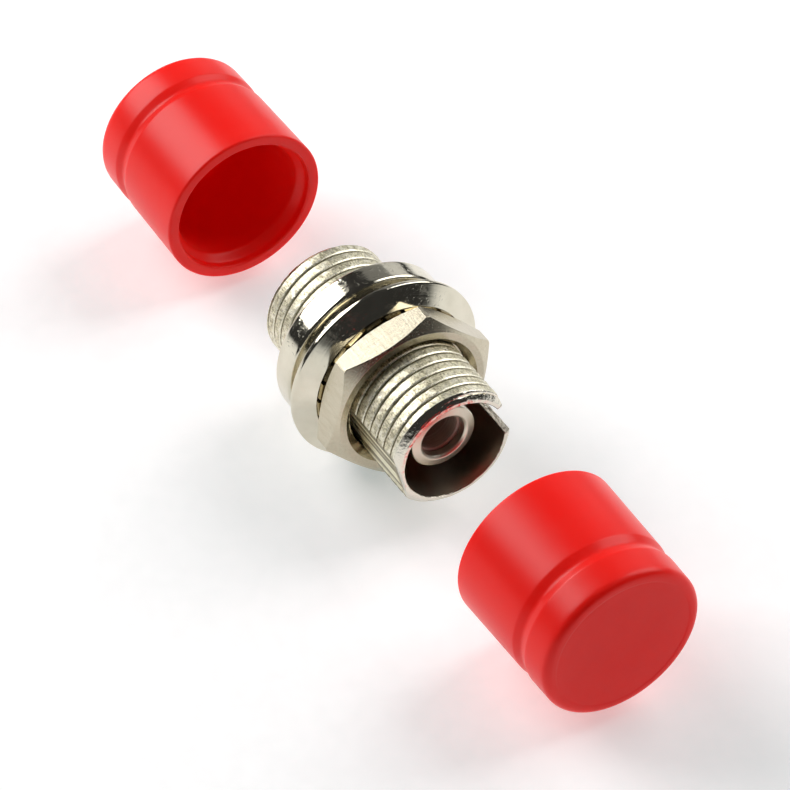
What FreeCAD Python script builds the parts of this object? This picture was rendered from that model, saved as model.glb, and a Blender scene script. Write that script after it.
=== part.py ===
import FreeCAD, Part
import math
import os

from FreeCAD import Vector

# FC fibre coupler: two turned and plated half bodies pressed together round a split
# alignment sleeve, with a lock washer, a thin panel nut and a dust cap for either end.
# Millimetres. X is the coupler's axis, with the flatted barrel, the washer and the nut
# on its +X side. Z is up. The origin is on the axis at the mating plane, where the two
# ferrules meet in the middle of the sleeve.

# Threaded barrels
thread_d = 8.0
barrel_end = 7.6
lead_in = 0.38
flat_depth = 0.45
key_width = 2.2
key_depth = 4.0
key_angle = 14.0

# Sockets that take the plug's collar, and the sleeve holders inside them
socket_d = 6.7
socket_depth = 5.0
holder_d = 4.2
holder_recess = 1.25
holder_edge = 0.26
lip_bore_d = 2.84
lip_chamfer = 0.14

# Split alignment sleeve for ferrules
ferrule_d = 2.5
sleeve_d = 3.2
sleeve_length = 11.4
sleeve_slit = 0.5
sleeve_edge = 0.12
sleeve_play = 0.04
sleeve_end_play = 0.08

# Flange: a thin plate on the front body, coned up to a flat seat for the washer, a
# groove behind it, and the thick ring of the rear body
plate_d = 12.4
plate_thickness = 0.3
plate_front = -0.3
plate_edge = 0.1
seat_band = 1.0
seat_rise = 0.7
seat_edge = 0.05
ring_d = 11.25
ring_width = 1.65
ring_edge = 0.2
seam_width = 1.05
seam_depth = 0.45
spigot_d = 6.0
spigot_length = 1.2
spigot_end_play = 0.1

# Lock washer with outer teeth, slightly twisted
washer_play = 0.2
washer_band = 0.35
washer_sheet = 0.25
tooth_count = 24
tooth_length = 0.45
tooth_width = 1.0
tooth_twist = 6.0
washer_seat_play = 0.02

# Panel nut
nut_across_flats = 10.0
nut_thickness = 2.0
nut_chamfer_angle = 30.0
nut_face_inset = 0.15
nut_sink = 0.35
nut_angle = 16.5
thread_play = 0.05

# Dust caps, drawn off the barrels
cap_length = 9.0
cap_wall = 1.15
cap_draft = 0.15
cap_mouth_relief = 0.42
cap_mouth_edge = 0.3
cap_mouth_step = 0.9
cap_step_taper = 0.4
cap_floor = 1.2
cap_play = 0.05
cap_end_edge = 0.75
cap_inner_edge = 0.5
cap_rim_edge = 0.14
cap_groove_from_end = 2.7
cap_groove_width = 1.2
cap_groove_depth = 0.22
cap_groove_edge = 0.5
front_cap_gap = 8.6
rear_cap_gap = 9.2

AXIS = Vector(1, 0, 0)
CENTRE = Vector(0, 0, 0)

# Places along the axis that several pieces share
plate_back = plate_front - plate_thickness
seat_front = plate_front + seat_rise
ring_front = plate_back - seam_width
ring_back = ring_front - ring_width
spigot_end = plate_back - spigot_length
holder_tip = barrel_end - holder_recess
pocket_end = sleeve_length / 2 + sleeve_end_play
socket_floor = barrel_end - socket_depth
tooth_height = (tooth_width * math.sin(math.radians(tooth_twist))
                + washer_sheet * math.cos(math.radians(tooth_twist)))
washer_middle = seat_front + washer_seat_play + tooth_height / 2
nut_back = seat_front + tooth_height + 2 * washer_seat_play
nut_front = nut_back + nut_thickness

# Radii that several pieces share
thread_r = thread_d / 2
pocket_r = sleeve_d / 2 + sleeve_play


def rounded_corner(before, corner, after, radius):
    """Tangent arc that rounds a profile's corner, as its start, middle and end."""
    to_before = (before - corner).normalize()
    to_after = (after - corner).normalize()
    half_angle = to_before.getAngle(to_after) / 2
    reach = radius / math.tan(half_angle)
    inward = (to_before + to_after).normalize()
    middle = corner + inward * (radius / math.sin(half_angle) - radius)
    return corner + to_before * reach, middle, corner + to_after * reach


def turned(corners):
    """Solid turned about X from profile corners (x, radius) or (x, radius, rounding)."""
    points = [Vector(corner[0], 0, corner[1]) for corner in corners]
    roundings = [corner[2] if len(corner) > 2 else 0 for corner in corners]
    starts = []
    arcs = []
    for i, point in enumerate(points):
        after = points[(i + 1) % len(points)]
        if roundings[i] > 0:
            start, middle, end = rounded_corner(points[i - 1], point, after, roundings[i])
            arcs.append(Part.Arc(start, middle, end).toShape())
            starts.append((start, end))
        else:
            arcs.append(None)
            starts.append((point, point))
    edges = []
    for i, (start, end) in enumerate(starts):
        if arcs[i] is not None:
            edges.append(arcs[i])
        next_start = starts[(i + 1) % len(starts)][0]
        edges.append(Part.LineSegment(end, next_start).toShape())
    face = Part.Face(Part.Wire(edges))
    return face.revolve(CENTRE, AXIS, 360)


def turn_about_axis(shape, angle):
    """The shape turned about X, with angle 0 on the +Y side and 90 on top."""
    turned_shape = shape.copy()
    turned_shape.rotate(CENTRE, AXIS, angle)
    return turned_shape


def holder_profile():
    """Corners of a socket, from the barrel's end face in to the sleeve's pocket."""
    return [
        (barrel_end, thread_r - lead_in),
        (barrel_end, socket_d / 2),
        (socket_floor, socket_d / 2),
        (socket_floor, holder_d / 2),
        (holder_tip, holder_d / 2, holder_edge),
        (holder_tip, lip_bore_d / 2 + lip_chamfer),
        (holder_tip - lip_chamfer, lip_bore_d / 2),
        (pocket_end, lip_bore_d / 2),
        (pocket_end, pocket_r),
    ]


def mirrored(corners):
    """The same profile on the -X side of the mating plane."""
    return [(-corner[0],) + corner[1:] for corner in corners]


def key_slot_cutter():
    """Round-ended slot through the front barrel's wall, for the plug's key, on the +Y side."""
    inner = (holder_d + socket_d) / 4
    height = thread_d - inner
    slot_middle = barrel_end - key_depth + key_width / 2
    straight = Part.makeBox(key_depth, height, key_width, Vector(slot_middle, inner, -key_width / 2))
    round_end = Part.makeCylinder(key_width / 2, height, Vector(slot_middle, inner, 0), Vector(0, 1, 0))
    return turn_about_axis(straight.fuse(round_end), key_angle)


def barrel_flats_cutter():
    """Two slabs that leave opposite flats along the front barrel, one of them round the key slot."""
    length = barrel_end - seat_front
    corner = Vector(seat_front, thread_r - flat_depth, -thread_r)
    slab = Part.makeBox(length, 2 * flat_depth, thread_d, corner)
    pair = [turn_about_axis(slab, key_angle), turn_about_axis(slab, key_angle + 180)]
    return Part.makeCompound(pair)


def make_front_body():
    """Flatted barrel with its socket and sleeve holder, coned flange plate and press spigot."""
    profile = [
        (spigot_end, pocket_r),
        (spigot_end, spigot_d / 2),
        (plate_back, spigot_d / 2),
        (plate_back, plate_d / 2, plate_edge),
        (plate_front, plate_d / 2, plate_edge),
        (seat_front, thread_r + seat_band, seat_edge),
        (seat_front, thread_r),
        (barrel_end - lead_in, thread_r),
    ] + holder_profile()
    return turned(profile).cut(barrel_flats_cutter()).cut(key_slot_cutter())


def make_rear_body():
    """Round barrel with its socket and sleeve holder, and the thick flange ring."""
    profile = [
        (spigot_end - spigot_end_play, pocket_r),
        (spigot_end - spigot_end_play, spigot_d / 2),
        (plate_back, spigot_d / 2),
        (plate_back, ring_d / 2 - seam_depth),
        (ring_front, ring_d / 2 - seam_depth),
        (ring_front, ring_d / 2, ring_edge),
        (ring_back, ring_d / 2, ring_edge),
        (ring_back, thread_r),
        (lead_in - barrel_end, thread_r),
    ] + mirrored(holder_profile())
    slot = key_slot_cutter().mirror(CENTRE, AXIS)
    return turned(profile).cut(slot)


def make_split_sleeve():
    """Thin ceramic tube, slit along its whole length so that it grips both ferrules."""
    half = sleeve_length / 2
    tube = turned([
        (-half, ferrule_d / 2, sleeve_edge),
        (-half, sleeve_d / 2, sleeve_edge),
        (half, sleeve_d / 2, sleeve_edge),
        (half, ferrule_d / 2, sleeve_edge),
    ])
    slit = Part.makeBox(sleeve_length, sleeve_slit, sleeve_d, Vector(-half, -sleeve_slit / 2, 0))
    return tube.cut(slit)


def tooth_section(radius, twist):
    """Rectangle of sheet standing across a tooth at a radius, twisted about the radius."""
    cosine = math.cos(math.radians(twist))
    sine = math.sin(math.radians(twist))
    corners = []
    for x, y in ((-1, -1), (1, -1), (1, 1), (-1, 1)):
        along = x * washer_sheet / 2
        across = y * tooth_width / 2
        corners.append(Vector(washer_middle + along * cosine - across * sine,
                              along * sine + across * cosine, radius))
    return Part.makePolygon(corners + corners[:1])


def make_lock_washer():
    """Flat ring with outer teeth, each twisted so that its corners bite the seat and the nut."""
    bore_r = thread_r + washer_play
    root_r = bore_r + washer_band
    tip_r = root_r + tooth_length
    ring_start = washer_middle - washer_sheet / 2
    ring_stop = washer_middle + washer_sheet / 2
    ring = turned([(ring_start, bore_r), (ring_start, root_r), (ring_stop, root_r), (ring_stop, bore_r)])
    buried = (bore_r + root_r) / 2
    sections = [tooth_section(buried, 0), tooth_section(root_r, 0), tooth_section(tip_r, tooth_twist)]
    tooth = Part.makeLoft(sections, True, True)
    teeth = [turn_about_axis(tooth, 360 * i / tooth_count) for i in range(tooth_count)]
    return ring.multiFuse(teeth)


def make_hex_nut():
    """Thin hexagon nut, turned to a blunt cone on both faces, with a countersunk bore."""
    corner_r = nut_across_flats / 2 / math.cos(math.radians(30))
    hexagon = []
    for i in range(7):
        angle = math.radians(60 * i + nut_angle)
        hexagon.append(Vector(nut_back, corner_r * math.cos(angle), corner_r * math.sin(angle)))
    prism = Part.Face(Part.makePolygon(hexagon)).extrude(AXIS * nut_thickness)
    face_r = nut_across_flats / 2 - nut_face_inset
    fall = (corner_r - face_r) * math.tan(math.radians(nut_chamfer_angle))
    blank = turned([
        (nut_back, 0),
        (nut_back, face_r),
        (nut_back + fall, corner_r),
        (nut_front - fall, corner_r),
        (nut_front, face_r),
        (nut_front, 0),
    ])
    bore_r = thread_r + thread_play
    bore = turned([
        (nut_back, 0),
        (nut_back, bore_r + nut_sink),
        (nut_back + nut_sink, bore_r),
        (nut_front - nut_sink, bore_r),
        (nut_front, bore_r + nut_sink),
        (nut_front, 0),
    ])
    return prism.common(blank).cut(bore)


def make_dust_cap():
    """Moulded cap with its mouth at x = 0 and its closed end on the +X side."""
    bore_r = thread_r + cap_play
    mouth_bore_r = bore_r + cap_mouth_relief
    mouth_r = bore_r + cap_wall
    slope = cap_draft / cap_length
    groove = cap_length - cap_groove_from_end
    groove_start = groove - cap_groove_width / 2
    groove_stop = groove + cap_groove_width / 2
    return turned([
        (0, mouth_bore_r, cap_mouth_edge),
        (0, mouth_r, cap_rim_edge),
        (groove_start, mouth_r - slope * groove_start, cap_groove_edge),
        (groove, mouth_r - slope * groove - cap_groove_depth, cap_groove_edge),
        (groove_stop, mouth_r - slope * groove_stop, cap_groove_edge),
        (cap_length, mouth_r - cap_draft, cap_end_edge),
        (cap_length, 0),
        (cap_length - cap_floor, 0),
        (cap_length - cap_floor, bore_r, cap_inner_edge),
        (cap_mouth_step, bore_r, cap_step_taper / 2),
        (cap_mouth_step - cap_step_taper, mouth_bore_r, cap_step_taper / 2),
    ])


def make_front_dust_cap():
    """Cap drawn off the front barrel, with its mouth facing the coupler."""
    cap = make_dust_cap()
    cap.translate(AXIS * (barrel_end + front_cap_gap))
    return cap


def make_rear_dust_cap():
    """Cap drawn off the rear barrel, with its mouth facing the coupler."""
    cap = make_dust_cap()
    cap.rotate(CENTRE, Vector(0, 0, 1), 180)
    cap.translate(AXIS * -(barrel_end + rear_cap_gap))
    return cap


pieces = {
    "front_body": make_front_body(),
    "rear_body": make_rear_body(),
    "split_sleeve": make_split_sleeve(),
    "lock_washer": make_lock_washer(),
    "hex_nut": make_hex_nut(),
    "front_dust_cap": make_front_dust_cap(),
    "rear_dust_cap": make_rear_dust_cap(),
}

os.makedirs("parts", exist_ok=True)
for name, shape in pieces.items():
    shape.exportStep(f"parts/{name}.step")
    print(name, "valid", shape.isValid(), "solids", len(shape.Solids), "mm3", round(shape.Volume, 2))
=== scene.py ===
import math

import bmesh
import bpy
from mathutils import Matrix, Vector, noise


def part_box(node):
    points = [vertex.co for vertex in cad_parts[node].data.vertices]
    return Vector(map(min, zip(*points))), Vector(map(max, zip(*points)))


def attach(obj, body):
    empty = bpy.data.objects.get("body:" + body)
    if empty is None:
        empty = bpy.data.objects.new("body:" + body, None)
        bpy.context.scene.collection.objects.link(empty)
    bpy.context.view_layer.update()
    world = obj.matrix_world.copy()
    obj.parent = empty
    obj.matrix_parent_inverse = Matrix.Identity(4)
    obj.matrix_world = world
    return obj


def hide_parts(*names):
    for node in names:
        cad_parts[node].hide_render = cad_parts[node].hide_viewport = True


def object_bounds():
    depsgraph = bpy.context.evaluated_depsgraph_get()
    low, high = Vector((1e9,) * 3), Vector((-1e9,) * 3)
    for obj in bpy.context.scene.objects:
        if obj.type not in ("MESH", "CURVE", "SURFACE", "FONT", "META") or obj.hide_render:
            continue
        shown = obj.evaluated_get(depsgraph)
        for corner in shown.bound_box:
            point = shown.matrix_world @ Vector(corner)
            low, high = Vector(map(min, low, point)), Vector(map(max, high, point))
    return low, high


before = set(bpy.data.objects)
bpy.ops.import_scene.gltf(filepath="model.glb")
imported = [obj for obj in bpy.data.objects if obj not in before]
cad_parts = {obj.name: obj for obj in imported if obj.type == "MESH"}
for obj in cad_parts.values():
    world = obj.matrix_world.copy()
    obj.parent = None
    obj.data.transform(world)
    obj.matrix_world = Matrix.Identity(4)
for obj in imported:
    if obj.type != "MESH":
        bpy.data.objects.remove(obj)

cad_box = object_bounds()

# Sizes are in millimetres and angles in degrees. X is the coupler's axis, and an
# angle about it is 0 on the +Y side and 90 on top. Places come from the solids.
MM = 0.001

front_low, front_high = [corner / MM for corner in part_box("front_body")]
rear_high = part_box("rear_body")[1] / MM
sleeve_low, sleeve_high = [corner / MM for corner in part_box("split_sleeve")]
washer_low, washer_high = [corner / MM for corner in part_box("lock_washer")]
nut_low, nut_high = [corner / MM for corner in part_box("hex_nut")]
front_cap_low, front_cap_high = [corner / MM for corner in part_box("front_dust_cap")]
rear_cap_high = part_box("rear_dust_cap")[1] / MM

# Thread, M8 x 0.75, as shallow as its plating makes it look. Shares are of the pitch,
# and marks are counted per millimetre.
crest_r = 4.0
pitch = 0.75
thread_depth = 0.2
shoulder_depth = 0.05
crest_share = 0.5
shoulder_share = 0.87
root_share = 0.05
lead_in = 0.38
end_fall = 0.06
run_out = 0.4
thread_wear = 0.025
wear_marks = 2.6
thread_gap = 0.05

# Burrs on the end rims and key slots, and how far from those edges a point still counts as on them
burr_depth = 0.06
burr_marks = 3.5
burr_wall_reach = 0.005
burr_face_reach = 0.05
burr_rim_reach = 0.1

# Barrels, from the flange out to the end face
barrel_end = front_high.x
flat_distance = 3.55
key_width = 2.2
key_depth = 4.0
key_angle = 14.0
socket_r = 3.35
socket_floor = 2.6
holder_r = 2.1
holder_tip = 6.35
holder_edge = 0.08
holder_fall = 0.12
holder_tip_edge = 0.12
lip_r = 1.42
lip_chamfer = 0.14
pocket_end = 5.78
pocket_r = 1.64

# Split sleeve
sleeve_inner_r = 1.25
sleeve_outer_r = sleeve_high.y
sleeve_slit = 0.5
sleeve_edge = 0.12

# Flange: the thin plate coned up to the washer's seat, the groove behind it and the thick ring
plate_r = front_high.z
plate_front = -0.3
plate_back = rear_high.x
plate_edge = 0.1
seat_front = washer_low.x - 0.02
seat_r = 5.0
seat_edge = 0.05
ring_r = rear_high.z
ring_front = -1.65
ring_back = -3.3
ring_edge = 0.2
groove_floor_r = 5.175
spigot_end = front_low.x
spigot_hole_end = -1.9
spigot_r = 3.0

# Panel nut
nut_back = nut_low.x
nut_front = nut_high.x
nut_apothem = 5.0
nut_angle = 16.5
nut_face_r = 4.85
nut_mouth_r = 4.4
nut_cone = math.tan(math.radians(30))
nut_corner_r = nut_apothem / math.cos(math.radians(29))

# Lock washer
washer_middle = (washer_low.x + washer_high.x) / 2
washer_sheet = 0.25
washer_bore_r = 4.2
washer_root_r = 4.55
washer_tip_r = 5.0
tooth_count = 24
tooth_width = 1.0
tooth_twist = 6.0

# Dust caps
cap_length = front_cap_high.x - front_cap_low.x
cap_mouth_r = front_cap_high.z
cap_taper = 0.15
cap_end_r = cap_mouth_r - cap_taper
cap_bore_r = 4.05
cap_relief_r = 4.47
cap_step = 0.95
cap_step_taper = 0.5
cap_floor = 1.2
cap_groove = cap_length - 2.7
cap_groove_width = 1.2
cap_groove_depth = 0.2
cap_groove_edge = 0.5
cap_end_edge = 0.45
cap_disc_r = 4.3
cap_disc_slope = 0.12
cap_disc_sink = 0.02
cap_disc_edge = 0.15
cap_mouth_edge = 0.14
cap_relief_edge = 0.12
cap_floor_edge = 0.5
cap_step_edge = 0.4
cap_taper_edge = 0.3

# Meshes: the smallest rounding, how close points merge, where shading breaks, and the fineness.
# A guard is a point beside each end of an arc that keeps the shading next to it flat.
FINE = 0.04
MERGE = 0.00005
THREAD_MERGE = 0.0004
SHARP_ANGLE = 24.0
ARC_STEPS = 6
ARC_GUARD = 0.5
ARC_GUARD_ROOM = 0.3
SLOT_STEPS = 24
BARREL_COLUMNS = 288
NUT_COLUMNS = 360
RING_COLUMNS = 192
SLEEVE_COLUMNS = 96

# Point attributes that the thread tree reads
THREAD_MARKS = ("threaded", "row", "turn")


def rounded(corners):
    """Points (x, radius) of a closed outline, with an arc at each corner (x, radius, rounding)."""
    count = len(corners)
    spots = [Vector(corner[:2]) for corner in corners]
    arms = []
    for i, corner in enumerate(corners):
        to_before = (spots[i - 1] - spots[i]).normalized()
        to_after = (spots[(i + 1) % count] - spots[i]).normalized()
        half = to_before.angle(to_after) / 2
        reach = corner[2] / math.tan(half) if len(corner) > 2 else 0.0
        arms.append((to_before, to_after, half, reach))
    points = []
    for i, corner in enumerate(corners):
        here = spots[i]
        if len(corner) == 2:
            points.append(here)
            continue
        to_before, to_after, half, reach = arms[i]
        sweep = math.pi - 2 * half
        centre = here + (to_before + to_after).normalized() * (corner[2] / math.sin(half))
        start = here + to_before * reach - centre
        stop = here + to_after * reach - centre
        room_before = (spots[i - 1] - here).length - reach - arms[i - 1][3]
        room_after = (spots[(i + 1) % count] - here).length - reach - arms[(i + 1) % count][3]
        guard_before = min(corner[2] * ARC_GUARD, room_before * ARC_GUARD_ROOM)
        guard_after = min(corner[2] * ARC_GUARD, room_after * ARC_GUARD_ROOM)
        points.append(here + to_before * (reach + guard_before))
        for step in range(ARC_STEPS + 1):
            share = step / ARC_STEPS
            part_start = math.sin((1 - share) * sweep) / math.sin(sweep)
            part_stop = math.sin(share * sweep) / math.sin(sweep)
            points.append(centre + start * part_start + stop * part_stop)
        points.append(here + to_after * (reach + guard_after))
    return points


def add_object(name, mesh):
    """The mesh as an object at the origin."""
    piece = bpy.data.objects.new(name, mesh)
    bpy.context.scene.collection.objects.link(piece)
    return piece


def grid_mesh(name, columns, closed_round):
    """Mesh of quads through columns of points, each column a closed outline at one angle about X."""
    rows = len(columns[0])
    vertices = [point for column in columns for point in column]
    faces = []
    for i in range(len(columns) if closed_round else len(columns) - 1):
        beside = (i + 1) % len(columns)
        for j in range(rows):
            above = (j + 1) % rows
            faces.append((i * rows + j, beside * rows + j, beside * rows + above, i * rows + above))
    mesh = bpy.data.meshes.new(name)
    mesh.from_pydata(vertices, [], faces)
    return mesh


def around(x, radius, angle):
    """Point in metres at a place along the axis, a radius and an angle about the axis."""
    turn = math.radians(angle)
    return Vector((x, radius * math.cos(turn), radius * math.sin(turn))) * MM


def close_up(mesh):
    """Merges doubles at poles and seams, turns faces outwards and shades smooth up to sharp edges."""
    work = bmesh.new()
    work.from_mesh(mesh)
    bmesh.ops.remove_doubles(work, verts=work.verts, dist=MERGE * MM)
    bmesh.ops.dissolve_degenerate(work, edges=work.edges, dist=MERGE * MM)
    loose = [edge for edge in work.edges if not edge.link_faces]
    bmesh.ops.delete(work, geom=loose, context="EDGES")
    bmesh.ops.recalc_face_normals(work, faces=work.faces)
    work.to_mesh(mesh)
    work.free()
    mesh.shade_smooth()
    mesh.set_sharp_from_angle(angle=math.radians(SHARP_ANGLE))


def turned(name, outline, count):
    """Closed mesh turned about X from an outline."""
    columns = []
    for i in range(count):
        columns.append([around(x, radius, 360 * i / count) for x, radius in outline])
    mesh = grid_mesh(name, columns, True)
    close_up(mesh)
    return mesh


class Nodes:
    """A node tree, with short calls that add one node each and give its output."""

    def __init__(self, tree):
        self.tree = tree

    def feed(self, socket, value):
        """Links an output into a socket, or sets the socket's own value."""
        if isinstance(value, bpy.types.NodeSocket):
            self.tree.links.new(value, socket)
        else:
            socket.default_value = value

    def add(self, kind, inputs=None, **settings):
        """A node with its settings, and with inputs fed by name or number."""
        node = self.tree.nodes.new(kind)
        for key, value in settings.items():
            setattr(node, key, value)
        for key, value in (inputs or {}).items():
            self.feed(node.inputs[key], value)
        return node

    def math(self, operation, *values):
        """One sum."""
        node = self.add("ShaderNodeMath", operation=operation)
        for socket, value in zip(node.inputs, values):
            self.feed(socket, value)
        return node.outputs[0]

    def ramp(self, value, low, high, to_low=0.0, to_high=1.0):
        """A value mapped from one range to another and held at its ends."""
        sockets = {0: value, 1: low, 2: high, 3: to_low, 4: to_high}
        return self.add("ShaderNodeMapRange", sockets).outputs[0]


def new_rules(name, numbers):
    """An empty Geometry Nodes tree with a mesh, named number inputs and a material."""
    tree = bpy.data.node_groups.new(name, "GeometryNodeTree")
    face = tree.interface
    face.new_socket("Mesh", in_out="INPUT", socket_type="NodeSocketGeometry")
    for number in numbers:
        face.new_socket(number, in_out="INPUT", socket_type="NodeSocketFloat")
    face.new_socket("Material", in_out="INPUT", socket_type="NodeSocketMaterial")
    face.new_socket("Mesh", in_out="OUTPUT", socket_type="NodeSocketGeometry")
    rules = Nodes(tree)
    entry = tree.nodes.new("NodeGroupInput")
    leave = tree.nodes.new("NodeGroupOutput")
    return rules, entry.outputs, leave.inputs[0]


def apply_rules(piece, rules, values):
    """Runs a tree on a piece with values for its named inputs, and keeps the result as a plain mesh."""
    modifier = piece.modifiers.new("rules", "NODES")
    modifier.node_group = rules.tree
    for item in rules.tree.interface.items_tree:
        if item.item_type == "SOCKET" and item.in_out == "INPUT" and item.name in values:
            modifier[item.identifier] = values[item.name]
    keep_evaluated(piece)


def keep_evaluated(piece):
    """Replaces a piece's mesh by what its modifiers make of it, and removes the modifiers."""
    depsgraph = bpy.context.evaluated_depsgraph_get()
    result = bpy.data.meshes.new_from_object(piece.evaluated_get(depsgraph))
    piece.modifiers.clear()
    piece.data = result


def thread_rules():
    """Tree that lays a blank's threaded rows along the helix and gives them the thread's section."""
    numbers = ["Origin", "Start", "End", "Pitch", "Crest radius", "Depth", "Shoulder depth",
               "Crest share", "Shoulder share", "Root share", "Lead-in", "Run-out", "Wear",
               "Nut gap", "Nut mouth radius"]
    rules, given, result = new_rules("thread", numbers)
    sums = rules.math

    def reading(name):
        node = rules.add("GeometryNodeInputNamedAttribute", {"Name": name}, data_type="FLOAT")
        return node.outputs[0]

    turn = reading("turn")
    helix = sums("MULTIPLY_ADD", sums("ADD", reading("row"), turn), given["Pitch"], given["Origin"])
    along = sums("MINIMUM", sums("MAXIMUM", helix, given["Start"]), given["End"])
    turns_along = sums("DIVIDE", sums("SUBTRACT", along, given["Origin"]), given["Pitch"])
    phase = sums("FRACT", sums("SUBTRACT", turns_along, turn))
    off_crest = sums("MULTIPLY", sums("ABSOLUTE", sums("SUBTRACT", phase, 0.5)), 2.0)
    root_edge = sums("SUBTRACT", 1.0, given["Root share"])
    bend = rules.ramp(off_crest, given["Crest share"], given["Shoulder share"])
    shoulder = sums("MULTIPLY", sums("MULTIPLY", bend, bend), given["Shoulder depth"])
    steep = rules.ramp(off_crest, given["Shoulder share"], root_edge)
    flank = sums("MULTIPLY", steep, sums("SUBTRACT", given["Depth"], given["Shoulder depth"]))
    from_start = sums("SUBTRACT", along, given["Start"])
    to_end = sums("SUBTRACT", given["End"], along)
    full = rules.ramp(from_start, 0.0, given["Run-out"])
    depth = sums("MULTIPLY", sums("ADD", shoulder, flank), full)
    section = sums("SUBTRACT", given["Crest radius"], depth)
    chamfer = sums("MAXIMUM", sums("SUBTRACT", given["Lead-in"], to_end), 0.0)
    outside = sums("MINIMUM", section, sums("SUBTRACT", given["Crest radius"], chamfer))
    mouth = sums("SUBTRACT", given["Nut mouth radius"], sums("MINIMUM", from_start, to_end))
    inside = sums("MAXIMUM", sums("ADD", section, given["Nut gap"]), mouth)
    is_nut = sums("GREATER_THAN", given["Nut gap"], 0.0)
    smooth = rules.ramp(is_nut, 0.0, 1.0, outside, inside)
    angle = sums("MULTIPLY", turn, 2 * math.pi)

    def placed(radius):
        y = sums("MULTIPLY", radius, sums("COSINE", angle))
        z = sums("MULTIPLY", radius, sums("SINE", angle))
        return rules.add("ShaderNodeCombineXYZ", {"X": along, "Y": y, "Z": z}).outputs[0]

    knocks = rules.add("ShaderNodeTexNoise",
                       {"Vector": placed(smooth), "Scale": wear_marks / MM, "Detail": 2.0})
    worn = sums("MULTIPLY", rules.ramp(knocks.outputs[0], 0.45, 0.75), given["Wear"])
    place = placed(sums("SUBTRACT", smooth, worn))
    threaded = sums("GREATER_THAN", reading("threaded"), 0.5)
    moved = rules.add("GeometryNodeSetPosition",
                      {"Geometry": given["Mesh"], "Selection": threaded, "Position": place})
    merged = rules.add("GeometryNodeMergeByDistance",
                       {"Geometry": moved.outputs[0], "Distance": THREAD_MERGE * MM})
    realized = rules.add("GeometryNodeRealizeInstances", {0: merged.outputs[0]})
    dressed = rules.add("GeometryNodeSetMaterial",
                        {"Geometry": realized.outputs[0], "Material": given["Material"]})
    rules.feed(result, dressed.outputs[0])
    return rules


def thread_rows(origin, start, end):
    """Rows of a thread in turns along the helix, close together where its section bends."""
    crest_edge = 0.5 - crest_share / 2
    shoulder_edge = 0.5 - shoulder_share / 2
    root_edge = root_share / 2
    width = crest_edge - shoulder_edge
    shoulder = [shoulder_edge + width * share for share in (0, 0.2, 0.4, 0.6, 0.8, 1)]
    rise = [root_edge] + shoulder + [(crest_edge + 0.5) / 2]
    turn = rise + [1 - share for share in reversed(rise)]
    first = math.floor((start - origin) / pitch) - 2
    last = math.ceil((end - origin) / pitch) + 1
    return [number + share for number in range(first, last) for share in turn]


def threaded_blank(name, columns_before, rows, columns_after, first_angle):
    """Open-seamed grid of plain points, threaded rows and plain points again, for the thread tree."""
    columns = []
    turns = []
    count = len(columns_before) - 1
    for i in range(count + 1):
        angle = first_angle + 360 * i / count
        before = [around(x, radius, angle) for x, radius in columns_before[i]]
        thread = [around(0, crest_r, angle) for row in rows]
        after = [around(x, radius, angle) for x, radius in columns_after[i]]
        columns.append(before + thread + after)
        turns.append(angle / 360)
    mesh = grid_mesh(name, columns, False)
    plain_before = len(columns_before[0])
    plain_after = len(columns_after[0])
    marks = [0.0] * plain_before + [1.0] * len(rows) + [0.0] * plain_after
    places = [0.0] * plain_before + list(rows) + [0.0] * plain_after
    all_turns = [turn for turn in turns for mark in marks]
    all_values = (marks * (count + 1), places * (count + 1), all_turns)
    for label, values in zip(THREAD_MARKS, all_values):
        layer = mesh.attributes.new(label, "FLOAT", "POINT")
        layer.data.foreach_set("value", values)
    return mesh


def drop_marks(mesh):
    """Removes the attributes that only the thread tree needs."""
    for label in THREAD_MARKS:
        mesh.attributes.remove(mesh.attributes[label])


THREAD = thread_rules()


def thread_values(origin, start, end, nut_gap, material):
    """Values for the thread tree's named inputs, in metres."""
    return {
        "Origin": origin * MM,
        "Start": start * MM,
        "End": end * MM,
        "Pitch": pitch * MM,
        "Crest radius": crest_r * MM,
        "Depth": thread_depth * MM,
        "Shoulder depth": shoulder_depth * MM,
        "Crest share": crest_share,
        "Shoulder share": shoulder_share,
        "Root share": root_share,
        "Lead-in": lead_in * MM,
        "Run-out": run_out * MM,
        "Wear": 0.0 if nut_gap else thread_wear * MM,
        "Nut gap": nut_gap * MM,
        "Nut mouth radius": nut_mouth_r * MM,
        "Material": material,
    }


def socket_outline():
    """Outline of a socket, from the barrel's end face in to the sleeve's pocket."""
    return [
        (barrel_end, socket_r, FINE),
        (socket_floor, socket_r, FINE),
        (socket_floor, holder_r, FINE),
        (holder_tip - holder_fall, holder_r, holder_edge),
        (holder_tip, lip_r + lip_chamfer, holder_tip_edge),
        (holder_tip - lip_chamfer, lip_r, FINE),
        (pocket_end, lip_r),
        (pocket_end, pocket_r),
    ]


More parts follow.
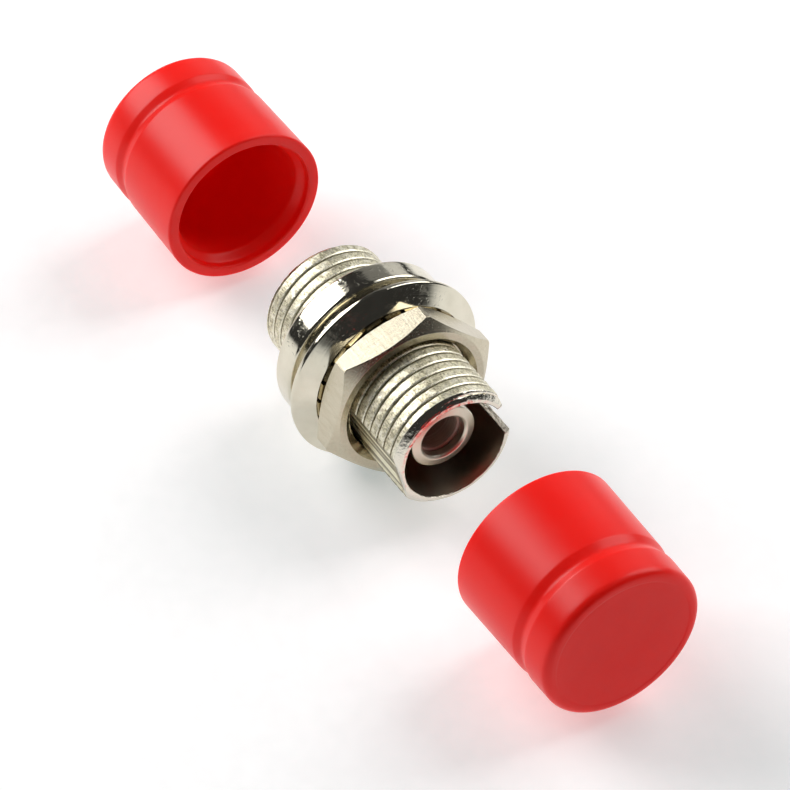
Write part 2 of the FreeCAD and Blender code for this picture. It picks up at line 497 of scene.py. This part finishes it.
def half_body(name, flange, thread_start, slot_angle, flats, half_turn, material):
    """Half body with its barrel on the +X side, turned end for end for the rear one."""
    thread_end = barrel_end - end_fall
    rows = thread_rows(thread_start, thread_start, thread_end)
    head = rounded(flange + [(thread_start, crest_r), (thread_end, crest_r - lead_in)])[:-2]
    tail = rounded([(thread_end, crest_r - lead_in)] + socket_outline() + [flange[0][:2]])[1:-1]
    count = BARREL_COLUMNS
    clear_of_cuts = slot_angle + 180 / count
    blank = threaded_blank(name, [head] * (count + 1), rows, [tail] * (count + 1), clear_of_cuts)
    piece = add_object(name, blank)
    apply_rules(piece, THREAD, thread_values(thread_start, thread_start, thread_end, 0.0, material))
    cutters = [key_slot_cutter(slot_angle)]
    if flats:
        cutters.append(flats_cutter())
    for cutter in cutters:
        cut = piece.modifiers.new("cut", "BOOLEAN")
        cut.operation = "DIFFERENCE"
        cut.solver = "MANIFOLD"
        cut.object = cutter
    keep_evaluated(piece)
    for cutter in cutters:
        bpy.data.objects.remove(cutter)
    burr_edges(piece.data, slot_angle)
    if half_turn:
        for vertex in piece.data.vertices:
            vertex.co = Vector((-vertex.co.x, -vertex.co.y, vertex.co.z))
    drop_marks(piece.data)
    close_up(piece.data)
    return piece


def burr_edges(mesh, slot_angle):
    """Knocks the barrel's end rim and the edges of its key slot out of true, always into the metal."""
    turn = math.radians(slot_angle)
    out_of_slot = Vector((0, -math.sin(turn), math.cos(turn)))
    along_slot = Vector((0, math.cos(turn), math.sin(turn)))
    work = bmesh.new()
    work.from_mesh(mesh)
    bmesh.ops.triangulate(work, faces=work.faces, quad_method="BEAUTY", ngon_method="BEAUTY")
    for vertex in work.verts:
        place = vertex.co / MM
        from_axis = Vector((0, place.y, place.z))
        if from_axis.length < socket_r - FINE:
            continue
        knock = burr_depth * (0.5 + 0.5 * noise.noise(place * burr_marks))
        outside = from_axis.length > socket_r + burr_rim_reach
        beside = place.dot(out_of_slot)
        on_wall = abs(abs(beside) - key_width / 2) < burr_wall_reach
        if on_wall and place.dot(along_slot) > 0 and outside:
            vertex.co += out_of_slot * math.copysign(knock * MM, beside)
        if place.x > barrel_end - burr_face_reach:
            vertex.co.x -= knock * MM
        if place.x > barrel_end - burr_rim_reach and outside:
            vertex.co -= from_axis.normalized() * knock * MM
    work.to_mesh(mesh)
    work.free()


def prism(name, outline, low, high, angle):
    """Block with an outline of (x, z) points, standing from low to high along Y, turned about X."""
    turn = math.radians(angle)
    vertices = []
    for y in (low, high):
        for x, z in outline:
            point = Vector((x, y, z)) * MM
            vertices.append((point.x, point.y * math.cos(turn) - point.z * math.sin(turn),
                             point.y * math.sin(turn) + point.z * math.cos(turn)))
    count = len(outline)
    faces = [tuple(range(count)), tuple(range(2 * count - 1, count - 1, -1))]
    for i in range(count):
        beside = (i + 1) % count
        faces.append((i, i + count, beside + count, beside))
    mesh = bpy.data.meshes.new(name)
    mesh.from_pydata(vertices, [], faces)
    work = bmesh.new()
    work.from_mesh(mesh)
    bmesh.ops.recalc_face_normals(work, faces=work.faces)
    work.to_mesh(mesh)
    work.free()
    return mesh


def key_slot_cutter(angle):
    """Round-ended block that opens the barrel's wall for the plug's key."""
    half = key_width / 2
    middle = barrel_end - key_depth + half
    outline = [(barrel_end + 1, -half), (barrel_end + 1, half)]
    for step in range(SLOT_STEPS + 1):
        bend = math.radians(90 + 180 * step / SLOT_STEPS)
        outline.append((middle + half * math.cos(bend), half * math.sin(bend)))
    inner = (holder_r + socket_r) / 2
    return add_object("slot_cutter", prism("slot_cutter", outline, inner, crest_r + 1, angle))


def flats_cutter():
    """Two slabs that leave opposite flats along the front barrel."""
    wide = crest_r + 1
    outline = [(seat_front, -wide), (barrel_end + 1, -wide), (barrel_end + 1, wide), (seat_front, wide)]
    near = prism("flat_cutter", outline, flat_distance, wide, key_angle)
    far = prism("flat_cutter", outline, flat_distance, wide, key_angle + 180)
    work = bmesh.new()
    work.from_mesh(near)
    work.from_mesh(far)
    work.to_mesh(near)
    work.free()
    return add_object("flat_cutter", near)


def panel_nut(name, material):
    """Hexagon nut with blunt cones on both faces and a threaded bore."""
    count = NUT_COLUMNS
    before = []
    after = []
    for i in range(count + 1):
        bend = math.radians((360 * i / count) % 60 - 30)
        flat_r = min(nut_apothem / math.cos(bend), nut_corner_r)
        fall = (flat_r - nut_face_r) * nut_cone
        outline = rounded([
            (nut_back, nut_mouth_r),
            (nut_back, nut_face_r, FINE),
            (nut_back + fall, flat_r, FINE),
            (nut_front - fall, flat_r, FINE),
            (nut_front, nut_face_r, FINE),
            (nut_front, nut_mouth_r),
        ])
        before.append(outline[1:-1])
        after.append([])
    rows = thread_rows(seat_front, nut_back, nut_front)
    blank = threaded_blank(name, before, rows[::-1], after, nut_angle)
    piece = add_object(name, blank)
    apply_rules(piece, THREAD, thread_values(seat_front, nut_back, nut_front, thread_gap, material))
    drop_marks(piece.data)
    close_up(piece.data)
    return piece


def tooth_rules():
    """Tree that sets twisted teeth round the washer's ring."""
    numbers = ["Count", "Middle", "Sheet", "Width", "Buried radius", "Root radius", "Tip radius",
               "Twist"]
    rules, given, result = new_rules("teeth", numbers)
    sums = rules.math
    length = sums("SUBTRACT", given["Tip radius"], given["Buried radius"])
    size = rules.add("ShaderNodeCombineXYZ", {"X": given["Sheet"], "Y": given["Width"], "Z": length})
    block = rules.add("GeometryNodeMeshCube", {"Size": size.outputs[0], "Vertices X": 3,
                                               "Vertices Y": 5, "Vertices Z": 10})
    half_way = sums("MULTIPLY", sums("ADD", given["Tip radius"], given["Buried radius"]), 0.5)
    lift = rules.add("ShaderNodeCombineXYZ", {"Z": half_way})
    raised = rules.add("GeometryNodeTransform",
                       {"Geometry": block.outputs[0], "Translation": lift.outputs[0]})
    place = rules.add("GeometryNodeInputPosition").outputs[0]
    height = rules.add("ShaderNodeSeparateXYZ", {0: place}).outputs["Z"]
    twist = rules.ramp(height, given["Root radius"], given["Tip radius"], 0.0, given["Twist"])
    turned_place = rules.add("ShaderNodeVectorRotate", {"Vector": place, "Angle": twist},
                             rotation_type="Z_AXIS")
    shift = rules.add("ShaderNodeCombineXYZ", {"X": given["Middle"]})
    tooth = rules.add("GeometryNodeSetPosition", {"Geometry": raised.outputs[0],
                                                  "Position": turned_place.outputs[0],
                                                  "Offset": shift.outputs[0]})
    spots = rules.add("GeometryNodePoints", {"Count": given["Count"]})
    number = rules.add("GeometryNodeInputIndex").outputs[0]
    share = sums("DIVIDE", sums("MULTIPLY", number, 2 * math.pi), given["Count"])
    bend = rules.add("ShaderNodeCombineXYZ", {"X": share})
    rotation = rules.add("FunctionNodeEulerToRotation", {0: bend.outputs[0]})
    teeth = rules.add("GeometryNodeInstanceOnPoints", {"Points": spots.outputs[0],
                                                       "Instance": tooth.outputs[0],
                                                       "Rotation": rotation.outputs[0]})
    realized = rules.add("GeometryNodeRealizeInstances", {0: teeth.outputs[0]})
    joined = rules.add("GeometryNodeMeshBoolean", operation="UNION", solver="MANIFOLD")
    rules.feed(joined.inputs[1], given["Mesh"])
    rules.feed(joined.inputs[1], realized.outputs[0])
    dressed = rules.add("GeometryNodeSetMaterial",
                        {"Geometry": joined.outputs[0], "Material": given["Material"]})
    rules.feed(result, dressed.outputs[0])
    return rules


def toothed_washer(name, material):
    """Flat spring ring with twisted teeth on its rim."""
    low = washer_middle - washer_sheet / 2
    high = washer_middle + washer_sheet / 2
    outline = rounded([(low, washer_bore_r, FINE), (low, washer_root_r), (high, washer_root_r),
                       (high, washer_bore_r, FINE)])
    piece = add_object(name, turned(name, outline, RING_COLUMNS))
    apply_rules(piece, tooth_rules(), {
        "Count": float(tooth_count),
        "Middle": washer_middle * MM,
        "Sheet": washer_sheet * MM,
        "Width": tooth_width * MM,
        "Buried radius": (washer_bore_r + washer_root_r) / 2 * MM,
        "Root radius": washer_root_r * MM,
        "Tip radius": washer_tip_r * MM,
        "Twist": math.radians(tooth_twist),
        "Material": material,
    })
    close_up(piece.data)
    return piece


def split_sleeve(name, material):
    """Thin ceramic tube with a slit along its top."""
    outline = rounded([
        (sleeve_low.x, sleeve_outer_r, sleeve_edge),
        (sleeve_high.x, sleeve_outer_r, sleeve_edge),
        (sleeve_high.x, sleeve_inner_r, sleeve_edge),
        (sleeve_low.x, sleeve_inner_r, sleeve_edge),
    ])
    count = SLEEVE_COLUMNS
    columns = []
    for i in range(count + 1):
        column = []
        for x, radius in outline:
            gap = math.degrees(math.asin(sleeve_slit / 2 / radius))
            column.append(around(x, radius, 90 + gap + (360 - 2 * gap) * i / count))
        columns.append(column)
    mesh = grid_mesh(name, columns, False)
    rows = len(outline)
    work = bmesh.new()
    work.from_mesh(mesh)
    work.verts.ensure_lookup_table()
    work.faces.new([work.verts[j] for j in range(rows)])
    work.faces.new([work.verts[count * rows + j] for j in reversed(range(rows))])
    work.to_mesh(mesh)
    work.free()
    close_up(mesh)
    mesh.materials.append(material)
    return add_object(name, mesh)


def dust_cap(name, mouth, outward, material):
    """Moulded cap with its mouth at a place along the axis and its closed end outward, to +X or -X."""
    slope = (cap_mouth_r - cap_end_r) / cap_length
    start = cap_groove - cap_groove_width / 2
    stop = cap_groove + cap_groove_width / 2
    outline = rounded([
        (0, cap_relief_r, cap_relief_edge),
        (0, cap_mouth_r, cap_mouth_edge),
        (start, cap_mouth_r - slope * start, cap_groove_edge),
        (cap_groove, cap_mouth_r - slope * cap_groove - cap_groove_depth, cap_groove_edge),
        (stop, cap_mouth_r - slope * stop, cap_groove_edge),
        (cap_length, cap_end_r, cap_end_edge),
        (cap_length, cap_disc_r + cap_disc_slope, cap_disc_edge),
        (cap_length - cap_disc_sink, cap_disc_r, cap_disc_edge),
        (cap_length - cap_disc_sink, 0),
        (cap_length - cap_floor, 0),
        (cap_length - cap_floor, cap_bore_r, cap_floor_edge),
        (cap_step, cap_bore_r, cap_step_edge),
        (cap_step - cap_step_taper, cap_relief_r, cap_taper_edge),
    ])
    placed = [(mouth + outward * x, radius) for x, radius in outline]
    mesh = turned(name, placed, RING_COLUMNS)
    mesh.materials.append(material)
    return add_object(name, mesh)


# Colours of the finishes
CREST_DARK = (0.26, 0.225, 0.14, 1)
CREST_LIGHT = (0.88, 0.83, 0.62, 1)
SHOULDER_RUBBED = (0.86, 0.82, 0.67, 1)
# Painted shade for the thread grooves
GROOVE_PAINTED_SHADE = (0.20, 0.165, 0.11, 1)
FLANGE_DARK = (0.66, 0.62, 0.505, 1)
FLANGE_LIGHT = (0.71, 0.67, 0.555, 1)
BURR_BRIGHT = (0.75, 0.71, 0.61, 1)
# Painted shade for the inside of the socket
SOCKET_PAINTED_SHADE = (0.26, 0.18, 0.11, 1)
NUT_LIGHT = (0.59, 0.54, 0.42, 1)
NUT_DARK = (0.535, 0.48, 0.36, 1)
WASHER_LIGHT = (0.42, 0.34, 0.18, 1)
WASHER_DARK = (0.33, 0.26, 0.13, 1)
# Painted shade: the sleeve's ceramic is darkened to the shade of the bore
SLEEVE_SHADED_DARK = (0.36, 0.29, 0.235, 1)
SLEEVE_SHADED_LIGHT = (0.42, 0.35, 0.29, 1)
CAP_DEEP = (0.94, 0.013, 0.009, 1)
CAP_LIGHT = (0.96, 0.018, 0.013, 1)
PAPER_DARK = (0.78, 0.73, 0.73, 1)
PAPER_LIGHT = (0.82, 0.77, 0.77, 1)
PAPER_FAR = (0.36, 0.36, 0.36, 1)
PAPER_GLOW = (0.87, 1.0, 1.0, 1)


class Finish(Nodes):
    """A material's node tree with its Principled shader and the part's own coordinates."""

    def __init__(self, name):
        self.material = bpy.data.materials.new(name)
        self.material.use_nodes = True
        super().__init__(self.material.node_tree)
        self.shader = self.tree.nodes["Principled BSDF"]
        self.place = self.add("ShaderNodeTexCoord").outputs["Object"]
        parts = self.add("ShaderNodeSeparateXYZ", {0: self.place})
        self.x, self.y, self.z = parts.outputs
        squares = [self.math("MULTIPLY", value, value) for value in (self.y, self.z)]
        self.radius = self.math("SQRT", self.math("ADD", *squares))

    def set(self, **values):
        """Feeds the shader's sockets; an underscore in a name stands for a space."""
        for key, value in values.items():
            self.feed(self.shader.inputs[key.replace("_", " ")], value)

    def noise(self, scale, detail=2.0, place=None, roughness=0.5):
        """Soft random marks, scale in marks per millimetre."""
        node = self.add("ShaderNodeTexNoise", {"Vector": place or self.place, "Scale": scale / MM,
                                               "Detail": detail, "Roughness": roughness})
        return node.outputs["Fac"]

    def stretched(self, along, around_axis):
        """Coordinates squeezed along X and across it, so that marks are drawn out."""
        node = self.add("ShaderNodeMapping", {"Vector": self.place,
                                              "Scale": (along, around_axis, around_axis)})
        return node.outputs[0]

    def rings(self):
        """Coordinates in which marks are circles about the axis."""
        return self.add("ShaderNodeCombineXYZ", {"X": self.x, "Y": self.radius}).outputs[0]

    def blend(self, share, first, second):
        """A colour between two, or between two outputs."""
        node = self.add("ShaderNodeMix", data_type="RGBA")
        self.feed(node.inputs[0], share)
        self.feed(node.inputs[6], first)
        self.feed(node.inputs[7], second)
        return node.outputs[2]

    def bump(self, height, strength, distance, after=None):
        """A shading normal from a height, laid over another where one is given."""
        sockets = {"Height": height, "Strength": strength, "Distance": distance * MM}
        if after is not None:
            sockets["Normal"] = after
        return self.add("ShaderNodeBump", sockets).outputs[0]


def nickel_finish(name, flatted):
    """Bright nickel: polished flange, burred ends, grainy crests with rubbed shoulders, painted shade in
    the grooves and inside the socket.
    """
    f = Finish(name)
    streaks = f.noise(13.0, 3.0, f.stretched(0.3, 1.0), 0.6)
    grain = f.noise(10.0, 4.0, roughness=0.7)
    cloud = f.noise(0.9, 3.0)
    circles = f.noise(6.0, 3.0, f.rings())
    specks = f.ramp(f.noise(4.5, 2.0), 0.62, 0.7)
    smudge = f.noise(1.6, 4.0, roughness=0.65)
    burrs = f.noise(5.0, 3.0, roughness=0.7)
    key_cos = math.cos(math.radians(key_angle))
    key_sin = math.sin(math.radians(key_angle))
    along_key = f.math("ADD", f.math("MULTIPLY", f.y, key_cos), f.math("MULTIPLY", f.z, key_sin))
    beside_key = f.math("SUBTRACT", f.math("MULTIPLY", f.z, key_cos), f.math("MULTIPLY", f.y, key_sin))

    def between(low, high, low_fade=0.02, high_fade=0.02):
        """1 where the radius lies between two values, in millimetres."""
        above = f.ramp(f.radius, (low - low_fade) * MM, (low + low_fade) * MM)
        below = f.ramp(f.radius, (high - high_fade) * MM, (high + high_fade) * MM, 1.0, 0.0)
        return f.math("MULTIPLY", above, below)

    chamfer = (barrel_end - end_fall - lead_in) * MM
    at_end = f.ramp(f.math("ABSOLUTE", f.x), chamfer - 0.03 * MM, chamfer + 0.02 * MM)
    past_wall = f.math("SUBTRACT", f.math("ABSOLUTE", beside_key), key_width / 2 * MM)
    off_wall = f.math("ABSOLUTE", past_wall)
    on_wall = f.ramp(off_wall, (burr_depth + 0.01) * MM, (burr_depth + 0.03) * MM, 1.0, 0.0)
    slot_wall = f.math("MULTIPLY", on_wall, f.math("GREATER_THAN", along_key, 0.0))
    barrel = between(socket_r + 0.12, crest_r + 0.035)
    shell = between(socket_r + 0.03, crest_r + 0.035, 0.01)
    walls = f.math("MULTIPLY", shell, slot_wall)
    rim = f.math("MULTIPLY", shell, at_end)
    burred = f.math("MAXIMUM", rim, walls)
    dull = f.math("MULTIPLY", barrel, f.math("SUBTRACT", 1.0, burred))
    # Painted shade: the grooves darken from the shoulder down to the root of the thread.
    root_r = (crest_r - thread_depth) * MM
    shoulder_r = (crest_r - shoulder_depth - 0.01) * MM
    groove_shade = f.math("MULTIPLY", dull, f.ramp(f.radius, root_r, shoulder_r, 1.0, 0.0))
    rubbed = f.math("MULTIPLY", dull, between(crest_r - 0.045, crest_r - 0.01, 0.012, 0.006))
    height = f.math("MULTIPLY", f.math("MULTIPLY", f.math("ADD", streaks, grain), 0.5), dull)
    tone = height
    if flatted:
        across = f.math("ABSOLUTE", along_key)
        off_flat = f.ramp(across, (flat_distance - 0.012) * MM, (flat_distance - 0.004) * MM, 1.0, 0.0)
        groove_shade = f.math("MULTIPLY", groove_shade, off_flat)
        rubbed = f.math("MULTIPLY", rubbed, off_flat)
        lines = f.ramp(f.noise(2.1, 1.0, f.stretched(0.02, 1.0)), 0.45, 0.55, 0.4, 0.6)
        drawn = f.math("MULTIPLY", f.math("MULTIPLY", lines, 5.0), dull)
        tone = f.add("ShaderNodeMix", {0: off_flat, 2: lines, 3: height}).outputs[0]
        height = f.add("ShaderNodeMix", {0: off_flat, 2: drawn, 3: height}).outputs[0]
    in_socket = between(holder_r + 0.04, socket_r)
    near_tip = f.ramp(f.math("ABSOLUTE", f.x), (pocket_end - 0.1) * MM, pocket_end * MM)
    tip = f.math("MULTIPLY", between(lip_r - 0.1, holder_r + 0.01), near_tip)
    crest = f.blend(f.ramp(tone, 0.41, 0.58), CREST_DARK, CREST_LIGHT)
    bright = f.blend(f.ramp(cloud, 0.35, 0.65), FLANGE_DARK, FLANGE_LIGHT)
    plated = f.blend(rubbed, f.blend(dull, bright, crest), SHOULDER_RUBBED)
    # Painted shade: the socket's inside wall and floor are dark brown; burrs are a brighter nickel.
    burrs_and_socket_shade = f.blend(in_socket, f.blend(burred, plated, BURR_BRIGHT), SOCKET_PAINTED_SHADE)
    f.set(Base_Color=f.blend(f.math("MULTIPLY", groove_shade, 0.75), burrs_and_socket_shade, GROOVE_PAINTED_SHADE), Metallic=1.0)
    grainy = f.ramp(grain, 0.3, 0.7, 0.34, 0.48)
    crest_rough = f.math("SUBTRACT", grainy, f.math("MULTIPLY", rubbed, 0.12))
    polish = f.math("ADD", f.ramp(circles, 0.3, 0.7, 0.06, 0.11), f.ramp(smudge, 0.45, 0.7, 0.0, 0.12))
    worn = f.math("MAXIMUM", f.math("MULTIPLY", dull, crest_rough), f.math("MULTIPLY", in_socket, 0.6))
    blunt = f.math("MULTIPLY", f.math("MAXIMUM", tip, walls), f.ramp(grain, 0.3, 0.7, 0.28, 0.44))
    f.set(Roughness=f.math("MAXIMUM", f.math("MAXIMUM", worn, blunt), polish))
    pit_depth = 1.2 if flatted else 3.6
    pits = f.math("MULTIPLY", specks, pit_depth)
    pitted = f.math("SUBTRACT", f.math("ADD", circles, cloud), pits)
    ripple = f.bump(pitted, 0.14, 0.02)
    knocked = f.math("ADD", f.math("MULTIPLY", rim, 0.8), f.math("MULTIPLY", walls, 4.0))
    ragged = f.bump(f.math("MULTIPLY", burrs, knocked), 0.8, 0.05, ripple)
    f.set(Normal=f.bump(height, 1.0, 0.045, ragged))
    return f.material


def nut_finish():
    """Satin nickel on the nut, with drawn marks along its flats and circles on its faces."""
    f = Finish("satin_nut")
    drawn = f.noise(7.0, 3.0, f.stretched(0.15, 1.0))
    circles = f.noise(8.0, 3.0, f.rings())
    speckle = f.noise(10.0, 3.0)
    tone = f.blend(f.ramp(drawn, 0.35, 0.7), NUT_LIGHT, NUT_DARK)
    f.set(Base_Color=tone, Metallic=1.0)
    f.set(Roughness=f.ramp(speckle, 0.3, 0.7, 0.22, 0.28))
    f.set(Normal=f.bump(f.math("ADD", drawn, circles), 0.1, 0.02))
    return f.material


def washer_finish():
    """Plated spring steel with a yellow tone."""
    f = Finish("yellow_washer")
    speckle = f.noise(8.0, 3.0)
    f.set(Base_Color=f.blend(f.ramp(speckle, 0.3, 0.7), WASHER_LIGHT, WASHER_DARK))
    f.set(Metallic=1.0, Roughness=f.ramp(speckle, 0.3, 0.7, 0.16, 0.28))
    f.set(Normal=f.bump(speckle, 0.2, 0.02))
    return f.material


def sleeve_shaded_finish():
    """Ground ceramic, darkened all over with painted shade for the deep bore it sits in."""
    f = Finish("ground_ceramic")
    circles = f.noise(10.0, 3.0, f.rings())
    f.set(Base_Color=f.blend(f.ramp(circles, 0.3, 0.7), SLEEVE_SHADED_DARK, SLEEVE_SHADED_LIGHT))
    f.set(Roughness=f.ramp(circles, 0.3, 0.7, 0.22, 0.32))
    f.set(Normal=f.bump(circles, 0.1, 0.01))
    return f.material


def cap_finish(name):
    """Soft satin red plastic with a fine moulded grain and faint clouds in its colour."""
    f = Finish(name)
    grain = f.noise(14.0, 3.0, roughness=0.6)
    cloud = f.noise(0.35, 2.0)
    tone = f.blend(f.ramp(cloud, 0.3, 0.7), CAP_DEEP, CAP_LIGHT)
    f.set(Base_Color=tone, Roughness=f.ramp(grain, 0.3, 0.7, 0.28, 0.36), Specular_IOR_Level=0.2)
    f.set(Subsurface_Weight=0.65, Subsurface_Radius=(1.0, 0.05, 0.04), Subsurface_Scale=1.8 * MM)
    f.set(Normal=f.bump(grain, 0.1, 0.02))
    return f.material


front_nickel = nickel_finish("front_nickel", True)
rear_nickel = nickel_finish("rear_nickel", False)

front_flange = [
    (spigot_end, pocket_r),
    (spigot_end, spigot_r, FINE),
    (plate_back, spigot_r),
    (plate_back, plate_r, plate_edge),
    (plate_front, plate_r, plate_edge),
    (seat_front, seat_r, seat_edge),
]
front = half_body("threaded_front_body", front_flange, seat_front, key_angle,
                  flats=True, half_turn=False, material=front_nickel)

# The rear half is drawn on the +X side and turned end for end.
rear_flange = [
    (-spigot_hole_end, pocket_r),
    (-spigot_hole_end, spigot_r),
    (-plate_back, spigot_r),
    (-plate_back, groove_floor_r),
    (-ring_front, groove_floor_r),
    (-ring_front, ring_r, ring_edge),
    (-ring_back, ring_r, ring_edge),
]
rear = half_body("threaded_rear_body", rear_flange, -ring_back, 180 - key_angle,
                 flats=False, half_turn=True, material=rear_nickel)

sleeve = split_sleeve("ceramic_sleeve", sleeve_shaded_finish())
washer = toothed_washer("toothed_washer", washer_finish())
nut = panel_nut("panel_nut", nut_finish())
front_cap = dust_cap("front_red_cap", front_cap_low.x, 1, cap_finish("front_red"))
rear_cap = dust_cap("rear_red_cap", rear_cap_high.x, -1, cap_finish("rear_red"))

for piece, body, node, slot in (
    (front, "coupler", "front_body", "nickel_plate"),
    (rear, "coupler", "rear_body", "nickel_plate"),
    (sleeve, "coupler", "split_sleeve", "zirconia"),
    (washer, "washer", "lock_washer", "washer_steel"),
    (nut, "nut", "hex_nut", "satin_nickel"),
    (front_cap, "front_cap", "front_dust_cap", "red_plastic"),
    (rear_cap, "rear_cap", "rear_dust_cap", "red_plastic"),
):
    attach(piece, body)
    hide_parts(node)

# Floor, lights and camera
floor_z = cad_box[0].z


def pale_floor():
    """Wide white sheet that the flange rests on, greyer far away, with a faint glow of its own."""
    half = 2.0
    mesh = bpy.data.meshes.new("floor")
    mesh.from_pydata([(-half, -half, floor_z), (half, -half, floor_z), (half, half, floor_z),
                      (-half, half, floor_z)], [], [(0, 1, 2, 3)])
    f = Finish("floor_white")
    fibre = f.noise(1.2, 4.0)
    paper = f.blend(f.ramp(fibre, 0.3, 0.7), PAPER_DARK, PAPER_LIGHT)
    away = f.math("SQRT", f.math("ADD", f.math("MULTIPLY", f.x, f.x), f.math("MULTIPLY", f.y, f.y)))
    far = f.ramp(away, 0.06, 0.24)
    f.set(Base_Color=f.blend(far, paper, PAPER_FAR), Roughness=0.9, Specular_IOR_Level=0.1)
    f.set(Emission_Color=PAPER_GLOW, Emission_Strength=f.ramp(far, 0.0, 1.0, 0.36, 0.05))
    f.set(Normal=f.bump(fibre, 0.08, 0.1))
    mesh.materials.append(f.material)
    return add_object("floor", mesh)


pale_floor()


def direction(azimuth, elevation):
    """Unit vector from the part, with azimuth 0 along +X."""
    flat = math.cos(math.radians(elevation))
    return Vector((flat * math.cos(math.radians(azimuth)), flat * math.sin(math.radians(azimuth)),
                   math.sin(math.radians(elevation))))


def softbox(name, azimuth, elevation, distance, width, height, radiance):
    """Rectangular light that faces the part, with one pair of edges level."""
    light = bpy.data.lights.new(name, "AREA")
    light.shape = "RECTANGLE"
    light.size = width
    light.size_y = height
    light.energy = radiance * math.pi * width * height
    lamp = bpy.data.objects.new(name, light)
    lamp.location = direction(azimuth, elevation) * distance
    lamp.rotation_euler = (-lamp.location).to_track_quat("-Z", "Y").to_euler()
    bpy.context.scene.collection.objects.link(lamp)


softbox("left_softbox", azimuth=-150, elevation=36.5, distance=0.45, width=0.34, height=0.25, radiance=7.2)
softbox("right_softbox", azimuth=92, elevation=40, distance=0.45, width=0.34, height=0.34, radiance=3.9)
softbox("backdrop_low", azimuth=132, elevation=15, distance=0.6, width=0.4, height=0.2, radiance=0.7)
softbox("backdrop_high", azimuth=138, elevation=34, distance=0.6, width=0.36, height=0.2, radiance=0.2)

world = bpy.data.worlds.new("studio")
world.use_nodes = True
world.node_tree.nodes["Background"].inputs["Color"].default_value = (1.0, 1.0, 1.0, 1.0)
world.node_tree.nodes["Background"].inputs["Strength"].default_value = 0.035
bpy.context.scene.world = world

IMAGE_SIZE = 790
focal_pixels = 4665.7
aim = Vector((-3.655, 2.693, floor_z / MM)) * MM
camera_distance = 278.404 * MM
camera_azimuth = -30.891
camera_elevation = 43.876
camera_data = bpy.data.cameras.new("camera")
camera_data.sensor_width = 36.0
camera_data.lens = focal_pixels / IMAGE_SIZE * camera_data.sensor_width
camera_data.clip_start = 0.01
camera = bpy.data.objects.new("camera", camera_data)
camera.location = aim + direction(camera_azimuth, camera_elevation) * camera_distance
camera.rotation_euler = (aim - camera.location).to_track_quat("-Z", "Y").to_euler()
bpy.context.scene.collection.objects.link(camera)
bpy.context.scene.camera = camera
bpy.context.scene.view_settings.view_transform = "Standard"

bpy.context.view_layer.update()
